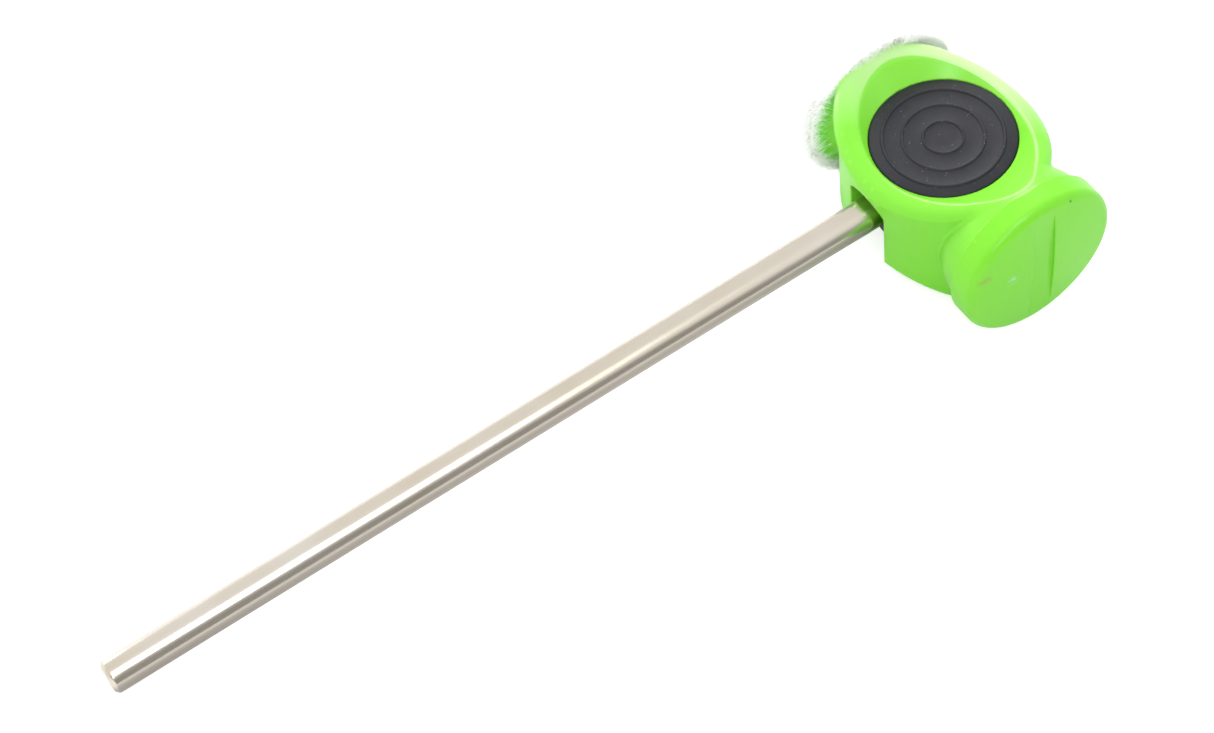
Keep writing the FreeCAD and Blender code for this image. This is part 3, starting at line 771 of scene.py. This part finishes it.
# radius, distance from the mid-plane, rounding
DISC_RIM = [(0, 0.0, 0), (17.82, 0.0, 0), (17.82, 1.9, 0.15), (17.05, 3.08, 0.15),
            (17.05, DISC_FACE_Y, 0.55)]
# ridges on the face: radius, height, half width
DISC_RIDGES = [(13.9, 0.25, 0.34), (9.4, 0.2, 0.30), (4.6, 0.2, 0.28)]
# recess for the steel core: radius, place along Z
CORE_RECESS = [(0, -10.52), (5.82, -10.52), (6.52, -9.82), (6.52, 9.82), (5.82, 10.52),
               (0, 10.52)]


def hub_disc(name, sign):
    """One half of the hub; sign is the side of the mid-plane along Y."""
    rows = list(DISC_RIM)
    for radius, height, half_width in DISC_RIDGES:
        top = DISC_FACE_Y + height
        rows += [(radius + half_width + 0.1, DISC_FACE_Y, 0.10),
                 (radius + half_width - 0.06, top, 0.08),
                 (radius - half_width + 0.06, top, 0.08),
                 (radius - half_width - 0.1, DISC_FACE_Y, 0.10)]
    rows.append((0, DISC_FACE_Y, 0))
    rows = [(radius, y * sign, rounding) for radius, y, rounding in rows]
    disc = lathe(name, fine(rounded(rows, steps=3), longest=2.5), "Y", around=256)
    cut(disc, lathe("cutter", CORE_RECESS, "Z", around=96))
    cut(disc, plug(radius=3.52, low=-24, high=-5, axis="Z", around=96))
    sharpen(disc, degrees=32)
    return disc


rubber = hub_rubber()
for name, node, sign in (("hub_disc_front", "hub_front", -1), ("hub_disc_rear", "hub_rear", 1)):
    install(hub_disc(name, sign), rubber, "rod", replaces=node)

# --------------------------------------------------------------------------- rod
ROD_CHAMFER = 0.9
ROD_SHOULDER_Z = -17.86
ROD_NECK_RADIUS = 3.5
ROD_TOP_CHAMFER = 0.6
PIN_HOLE_RADIUS = 1.27
PIN_HOLE_HALF_LENGTH = 12
PIN_HOLE_Z = 0.003               # metres above the hub's centre


def rod_bar():
    rows = [
        (0, ROD_BOTTOM, 0), (ROD_RADIUS - ROD_CHAMFER, ROD_BOTTOM, 0.25),
        (ROD_RADIUS, ROD_BOTTOM + ROD_CHAMFER, 0.35), (ROD_RADIUS, ROD_SHOULDER_Z, 0.08),
        (ROD_NECK_RADIUS, ROD_SHOULDER_Z, 0), (ROD_NECK_RADIUS, ROD_TOP - ROD_TOP_CHAMFER, 0.1),
        (ROD_NECK_RADIUS - ROD_TOP_CHAMFER, ROD_TOP, 0.1), (0, ROD_TOP, 0)]
    bar = lathe("rod_bar", fine(rounded(rows, steps=4), longest=6.0), "Z", around=192)
    hole = plug(PIN_HOLE_RADIUS, -PIN_HOLE_HALF_LENGTH, PIN_HOLE_HALF_LENGTH, "X", around=64)
    hole.data.transform(Matrix.Translation((0, 0, PIN_HOLE_Z)))
    cut(bar, hole)
    sharpen(bar, degrees=30)
    return bar


install(rod_bar(), steel("rod_steel", tint=(226, 219, 208), roughness=0.17, ring_scale=2600,
                         painted_side_shade=True), "rod", replaces="beater_rod")
dress(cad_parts["hub_core"],
      steel("core_steel", tint=(186, 186, 188), roughness=0.32, ring_scale=1800))
dress(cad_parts["rod_pin"],
      steel("pin_steel", tint=(150, 148, 146), roughness=0.28, ring_scale=900))
dress(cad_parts["fleece_adhesive"], adhesive_film())

# ------------------------------------------------------------------- fleece cloth
PAD_CENTRE = np.array([0, 0, PAD_Z])
STITCH_DEPTH = 0.07
STITCH_PITCH_Y = 1.5
STITCH_PITCH_Z = 1.1
CLOTH_INNER_RADIUS = 0.4
CLOTH_RADIUS = 18.86
CLOTH_FACE_X = -28.13
CLOTH_BACK_X = -27.34
CLOTH_AROUND, CLOTH_ROWS = ((300, 80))


def around(radius, x, angle):
    """Points round the pads' axis."""
    return np.stack([x, radius * np.cos(angle), radius * np.sin(angle) + PAD_Z], -1)


def ring_angles(count):
    return 2 * np.pi * np.arange(count) / count


def ring_faces(rings, count):
    """Faces over rings of points, closed by two pole points that follow them."""
    faces = []
    k = np.arange(count)
    after = (k + 1) % count
    for i in range(rings - 1):
        a, b = i * count + k, i * count + after
        faces.extend(zip(a, b, b + count, a + count))
    pole, last = rings * count, (rings - 1) * count
    faces.extend((pole, j, i) for i, j in zip(k, after))
    faces.extend((pole + 1, last + i, last + j) for i, j in zip(k, after))
    return faces


def knit_height(y, z):
    """Height of the rows of stitches."""
    u = y * 2 * np.pi / STITCH_PITCH_Y
    v = z * 2 * np.pi / STITCH_PITCH_Z
    loops = 0.6 + 0.4 * np.sin(v + 1.6 * np.abs(np.cos(u / 2)))
    return STITCH_DEPTH * (np.abs(np.sin(u / 2)) * loops)


def fleece_cloth():
    """A round of knitted cloth on the plate."""
    angle = ring_angles(CLOTH_AROUND)
    rows = []
    for radius in np.linspace(CLOTH_INNER_RADIUS, CLOTH_RADIUS, CLOTH_ROWS):
        height = knit_height(radius * np.cos(angle), radius * np.sin(angle))
        rows.append(around(radius, CLOTH_FACE_X + (STITCH_DEPTH - height), angle))
    for radius in np.linspace(CLOTH_RADIUS, CLOTH_INNER_RADIUS, CLOTH_ROWS):
        height = knit_height(radius * np.cos(angle), radius * np.sin(angle))
        rows.append(around(radius, CLOTH_BACK_X - 0.3 * height, angle))
    poles = np.array([[-28.1, 0, PAD_Z], [-27.35, 0, PAD_Z]])
    faces = ring_faces(len(rows), CLOTH_AROUND)
    return outward(make("fleece_knit", np.concatenate(rows + [poles]), faces))


install(fleece_cloth(), knit(), "head", replaces="fleece_backing")

# -------------------------------------------------------------------- fleece pile
# a soft cup over the cloth that wraps round the plate's edge: radius, x
PILE_OUTER = [
    (0.0, -32.5), (6, -32.45), (11, -32.15), (15, -31.4), (17.9, -30.3), (19.6, -28.7),
    (20.15, -27.2), (20.1, -26.0), (19.9, -25.1), (19.6, -24.75)]
# radius, x, rounding
PILE_INNER = [
    (19.36, -24.8, 0), (19.33, -25.2, 0.1), (19.36, -26.8, 0.1), (19.36, -28.0, 0.1),
    (18.9, -28.26, 0.1), (0.0, -28.26, 0)]
OUTER_ROWS = 120
PILE_AROUND = 320


def smooth_line(points, count):
    """Points evenly spaced along a Catmull-Rom curve."""
    p = np.array(points, float)
    q = np.vstack([2 * p[0] - p[1], p, 2 * p[-1] - p[-2]])
    line = []
    for i in range(1, len(q) - 2):
        a, b, c, d = q[i - 1:i + 3]
        for t in np.linspace(0, 1, 24, endpoint=False):
            line.append(0.5 * ((2 * b) + (-a + c) * t + (2 * a - 5 * b + 4 * c - d) * t * t
                               + (-a + 3 * b - 3 * c + d) * t ** 3))
    line = np.array(line + [p[-1]])
    steps = np.linalg.norm(np.diff(line, axis=0), axis=1)
    length = np.concatenate([[0], np.cumsum(steps)])
    even = np.linspace(0, length[-1], count)
    return np.stack([np.interp(even, length, line[:, k]) for k in (0, 1)], 1)


def waves(points, scale, seed):
    """Smooth repeatable noise from three octaves of turned sine waves, about -1 to 1."""
    draw = np.random.default_rng(seed)
    out = np.zeros(len(points))
    amplitude, total = 1.0, 0.0
    for _ in range(3):
        for _ in range(6):
            direction = draw.normal(size=3)
            direction *= scale / np.linalg.norm(direction)
            out += amplitude * np.sin(points @ direction + draw.uniform(0, 6.28)) / 2.4
        total += amplitude
        scale *= 2.1
        amplitude *= 0.55
    return out / total


def lump(points):
    """How far the pile's surface stands out, in millimetres."""
    return 0.22 * waves(points, scale=0.5, seed=5) + 0.08 * waves(points, scale=1.9, seed=9)


outer_line = smooth_line(PILE_OUTER, OUTER_ROWS)
tangent = unit(np.gradient(outer_line, axis=0))
outer_normal = np.stack([tangent[:, 1], -tangent[:, 0]], 1)    # points out of the pile


def fleece_pile():
    inner_line = np.array(fine(rounded(PILE_INNER, steps=2), longest=1.6))
    profile = np.vstack([outer_line, inner_line])
    angle = ring_angles(PILE_AROUND)

    def ring(point):
        return around(np.full(PILE_AROUND, point[0]), np.full(PILE_AROUND, point[1]), angle)

    rings = []
    for i in range(1, len(profile) - 1):
        points = ring(profile[i])
        if i < OUTER_ROWS:
            normal = ring(outer_normal[i]) - PAD_CENTRE
            fade = min(1.0, (OUTER_ROWS - i) / 8.0)
            points = points + normal * (lump(points) * fade)[:, None]
        rings.append(points)
    poles = np.array([[profile[0, 1], 0, PAD_Z], [profile[-1, 1], 0, PAD_Z]])
    poles[0, 0] -= lump(poles[:1])[0]
    faces = ring_faces(len(rings), PILE_AROUND)
    return outward(make("fleece_pad", np.concatenate(rings + [poles]), faces))


pile = fleece_pile()
wool = fleece_wool()
install(pile, wool, "head", replaces="fleece_pile")

# ------------------------------------------------------------------ fleece fibres
FIBRE_STATIONS = [(0.0, 1.0), (0.42, 0.85), (0.78, 0.55)]    # share of length, of radius
LOCKS = 900
FIBRE_GROUPS, FIBRES_PER_GROUP = ((4, 11500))


def fibre_triangles():
    """Faces of one fibre: three triangular sections and a tip."""
    faces = []
    for k in range(2):
        for j in range(3):
            a, b = 3 * k + j, 3 * k + (j + 1) % 3
            faces += [(a, b, b + 3), (a, b + 3, a + 3)]
    faces += [(6 + j, 6 + (j + 1) % 3, 9) for j in range(3)]
    return np.array(faces + [(0, 2, 1)])


def strands(name, root, direction, length, radius, bend):
    """Closed tapered fibres with a triangular section."""
    n = len(root)
    d = unit(direction)
    side = unit(np.cross(d, rng.normal(size=(n, 3))))
    third = np.cross(d, side)
    verts = np.empty((n, 10, 3))
    for k, (t, taper) in enumerate(FIBRE_STATIONS):
        centre = root + d * (length * t)[:, None] + bend * (t * t)
        for j in range(3):
            a = 2 * np.pi * j / 3
            spoke = side * math.cos(a) + third * math.sin(a)
            verts[:, 3 * k + j] = centre + spoke * (radius * taper)[:, None]
    verts[:, 9] = root + d * length[:, None] + bend
    faces = (fibre_triangles()[None] + 10 * np.arange(n)[:, None, None]).reshape(-1, 3)
    install(make(name, verts.reshape(-1, 3), faces), wool, "head")


# share of the outer surface's area reached at each row
row_areas = (np.linalg.norm(np.diff(outer_line, axis=0), axis=1)
             * ((outer_line[1:, 0] + outer_line[:-1, 0]) / 2))
area_share = np.cumsum(row_areas)
area_share = np.concatenate([[0], area_share / area_share[-1]])


def on_pile(count):
    """Random points just under the pile's outer surface, and their normals."""
    row = np.interp(rng.uniform(0, 1, count), area_share, np.arange(OUTER_ROWS))
    i = np.clip(row.astype(int), 0, OUTER_ROWS - 2)
    part = (row - i)[:, None]
    point = outer_line[i] * (1 - part) + outer_line[i + 1] * part
    normal = unit(outer_normal[i] * (1 - part) + outer_normal[i + 1] * part)
    angle = rng.uniform(0, 2 * np.pi, count)
    root = around(point[:, 0], point[:, 1], angle)
    normal = around(normal[:, 0], normal[:, 1], angle) - PAD_CENTRE
    return root + normal * (lump(root) - 0.12)[:, None], normal


def pile_fibres():
    """Fibres stand on the outer surface and lean together in small locks."""
    lock_root, lock_normal = on_pile(LOCKS)
    lock_tip = lock_root + unit(lock_normal + 0.5 * rng.normal(size=lock_normal.shape)) * 1.45
    tree = KDTree(LOCKS)
    for i, p in enumerate(lock_root):
        tree.insert(Vector(p), i)
    tree.balance()
    n = FIBRES_PER_GROUP
    for group in range(FIBRE_GROUPS):
        root, normal = on_pile(n)
        near = np.array([tree.find(Vector(p))[1] for p in root])
        # fibres hang longer on the lower side, and one in nine is a long wisp
        toward = unit(root * np.array([0, 1, 1]) - PAD_CENTRE) @ np.array([0.0, 0.30, -0.954])
        edge = np.clip((np.hypot(root[:, 1], root[:, 2] - PAD_Z) - 14) / 5, 0, 1)
        hang = smoothstep((toward - 0.2) / 0.8) * edge
        length = rng.uniform(0.7, 1.5, n) * (1 + 0.75 * hang)
        length = np.where(rng.uniform(size=n) < 0.11, length * 1.45 + 0.2, length)
        direction = unit(normal + 0.50 * rng.normal(size=normal.shape)
                         + hang[:, None] * np.array([0.0, 0.1, -0.3]))
        tip = root + direction * length[:, None]
        pull = (lock_tip[near] - tip) * rng.uniform(0.1, 0.5, n)[:, None]
        bend = pull + 0.26 * rng.normal(size=pull.shape) * length[:, None]
        # no fibre runs towards +X into the ring
        limit = np.where(root[:, 1] > 4, -23.8, -24.75)
        bend[:, 0] -= np.maximum((tip + bend)[:, 0] - limit, 0)
        strands(f"fleece_fibres_{group + 1}", root, direction, length,
                rng.uniform(0.035, 0.07, n), bend)


def edge_hairs(name, angle, radius, x, length, inward, sideways, toward_hub, curl,
               thickness, tip_x=None, lift=None):
    """Hairs rooted round the plate's edge. inward and thickness are ranges, sideways
    and curl are spreads; tip_x limits the tips, or lift is the range of the bend in x."""
    n = len(angle)
    root = around(radius, x, angle)
    to_axis = -np.stack([np.zeros(n), np.cos(angle), np.sin(angle)], 1)
    along_edge = np.stack([np.zeros(n), -np.sin(angle), np.cos(angle)], 1)
    direction = unit(to_axis * rng.uniform(*inward, n)[:, None]
                     + along_edge * rng.normal(0, sideways, n)[:, None]
                     + np.array([toward_hub, 0, 0]))
    bend = curl * rng.normal(size=(n, 3)) * length[:, None]
    if lift:
        bend[:, 0] = rng.uniform(*lift, n)
    else:
        end_x = root[:, 0] + direction[:, 0] * length + bend[:, 0]
        bend[:, 0] += np.clip(end_x, *tip_x) - end_x
    strands(name, root, direction, length, rng.uniform(*thickness, n), bend)


def fringe():
    """Covers the plate's edge, except at the lower front."""
    n = 11000
    angle = rng.uniform(0, 2 * np.pi, n)
    y, z = np.cos(angle), np.sin(angle)
    cover = 1 - smoothstep((-y * 0.62 - z * 0.78 - 0.42) / 0.2)
    cover *= np.where((y < -0.35) & (z < 0.4), 0.0, 1.0)
    angle = angle[rng.uniform(size=n) < cover]
    n = len(angle)
    edge_hairs(
        "fleece_fringe", angle, radius=rng.uniform(19.35, 20.0, n),
        x=rng.uniform(-24.95, -24.65, n),
        length=rng.uniform(0.7, 2.3, n) * np.where(np.sin(angle) > 0.2, 1.5, 1.0),
        inward=(-0.2, 1.0), sideways=0.5, toward_hub=0.5, curl=0.25,
        thickness=(0.035, 0.065), tip_x=(-24.35, -23.3))


def folded_edge():
    """The fleece is folded over the plate's edge at the upper front."""
    n = 7000
    edge_hairs(
        "fleece_folded_edge", rng.uniform(1.15, 2.70, n),
        radius=15.0 + 4.5 * np.sqrt(rng.uniform(size=n)), x=rng.uniform(-24.46, -24.3, n),
        length=rng.uniform(1.0, 2.2, n), inward=(-0.3, 1.0), sideways=0.6, toward_hub=0,
        curl=0.2, thickness=(0.05, 0.075), lift=(-0.05, 0.28))


def loose_hairs():
    """Fine hairs over the plate's hub-side face."""
    n = 1700
    edge_hairs(
        "fleece_loose_hairs", rng.uniform(0, 2 * np.pi, n),
        radius=rng.uniform(19.3, 19.8, n), x=np.full(n, -24.75),
        length=rng.gamma(3.2, 0.75, n).clip(0.8, 5.0), inward=(0.4, 1.0), sideways=0.6,
        toward_hub=0.25, curl=0.30, thickness=(0.028, 0.045), tip_x=(-24.3, -23.4))


pile_fibres()
fringe()
folded_edge()
loose_hairs()

# ------------------------------------------------------------------------- floor
FLOOR_GAP = 0.0002
FLOOR_HALF = 6.0


def lay_floor():
    """The beater lies on its rear side: the floor runs under the rod and tilts about
    a line along X until it touches the head or its pile."""
    points = np.concatenate([np.array([v.co for v in ob.data.vertices]) for ob in (head, pile)])
    rod_y = ROD_RADIUS / 1000
    slope = float(((points[:, 1] - rod_y) / points[:, 2]).max())
    up = Vector((0, -1, slope)).normalized()
    along = Vector((0, slope, 1)).normalized()
    across = Vector((1, 0, 0))
    origin = Vector((0, rod_y, 0)) - up * FLOOR_GAP
    corners = [origin + along * (s * FLOOR_HALF) + across * (t * FLOOR_HALF)
               for s, t in ((-1, -1), (1, -1), (1, 1), (-1, 1))]
    mesh = bpy.data.meshes.new("floor")
    mesh.from_pydata([tuple(corner) for corner in corners], [], [(0, 1, 2, 3)])
    floor = add_object("floor", mesh)
    mesh.flip_normals()          # to face the beater
    mesh.materials.append(floor_paper())


lay_floor()

# ------------------------------------------------------------------------ camera
# the camera's own directions
right = Vector((0.5564, 0.0895, 0.8262))
down = Vector((0.6615, 0.5542, -0.5054))
forward = Vector((-0.5031, 0.8276, 0.2493))

camera_data = bpy.data.cameras.new("camera")
camera = add_object("camera", camera_data)
turn = Matrix((right, -down, -forward)).transposed().to_4x4()
camera.matrix_world = Matrix.Translation(Vector((0.32257, -0.53310, -0.03201))) @ turn
camera_data.sensor_width = 36
camera_data.lens = 85.996705
camera_data.clip_start = 0.01
scene.camera = camera


# ---------------------------------------------------------------- room and lights
def build_room():
    """A soft white room with a darker side; seen directly, it is an even white."""
    world = bpy.data.worlds.new("room")
    scene.world = world
    world.use_nodes = True
    tree = world.node_tree
    direction = add_node(tree, "TexCoord", {}).outputs["Generated"]
    dark_side = tuple(Vector((0.88, 0.05, -0.45)).normalized())
    facing = add_node(tree, "VectorMath", {0: direction, 1: dark_side}, operation="DOT_PRODUCT")
    shade = add_node(tree, "MapRange", {
        "Value": facing.outputs["Value"], "From Min": 0.42, "From Max": 0.64,
        "To Min": 0.95, "To Max": 0.34}, interpolation_type="SMOOTHSTEP")
    seen = add_node(tree, "LightPath", {}).outputs["Is Camera Ray"]
    # inputs 2 and 3 are the mixed numbers
    strength = add_node(tree, "Mix", {0: seen, 2: shade.outputs["Result"], 3: 0.96})
    background = tree.nodes["Background"]
    put(tree, background.inputs["Strength"], strength.outputs[0])
    put(tree, background.inputs["Color"], (1, 1, 1, 1))


def softbox(name, direction, size, watts, distance=0.95):
    """A rectangular light aimed at the hub."""
    d = Vector(direction).normalized()
    data = bpy.data.lights.new(name, "AREA")
    data.shape = "RECTANGLE"
    data.size, data.size_y = size
    data.energy = watts
    light = add_object(name, data)
    light.location = Vector(HUB) + d * distance
    light.rotation_euler = (-d).to_track_quat("-Z", "Y").to_euler()
    return light


def collect(name, objects):
    """A collection for lights that only reach certain objects."""
    collection = bpy.data.collections.new(name)
    for ob in objects:
        collection.objects.link(ob)
    return collection


build_room()
key = softbox("key", -down * 0.98 + forward * 0.10 - right * 0.20, size=(0.6, 0.6), watts=6.5)
softbox("fill", (0.38, -0.91, -0.15), size=(0.45, 0.45), watts=2.4)
softbox("low", (0.553, -0.60, -0.55), size=(0.14, 0.3), watts=1.3, distance=0.9)
softbox("side", (-0.92, -0.10, -0.37), size=(0.24, 0.24), watts=2.2, distance=0.9)

# the key lights everything but the polished bar
meshes = [ob for ob in scene.objects if ob.type == "MESH"]
key.light_linking.receiver_collection = collect(
    "key_light", [ob for ob in meshes if ob.name != "rod_bar"])

# the white fleece has three lights of its own
wool_group = collect(
    "wool_light", [ob for ob in meshes if ob.name.startswith("fleece_") and not ob.hide_render])
for name, direction, watts in (("wool_left", (0.25, -0.86, -0.44), 4.5),
                               ("wool_low", (0.25, -0.36, -0.90), 5.5),
                               ("wool_top", (0.12, -0.52, 0.85), 10.0)):
    light = softbox(name, direction, size=(0.6, 0.6), watts=watts)
    light.light_linking.receiver_collection = wool_group

scene.view_settings.view_transform = "Standard"
scene.view_settings.look = "None"
scene.view_settings.exposure = 0.0
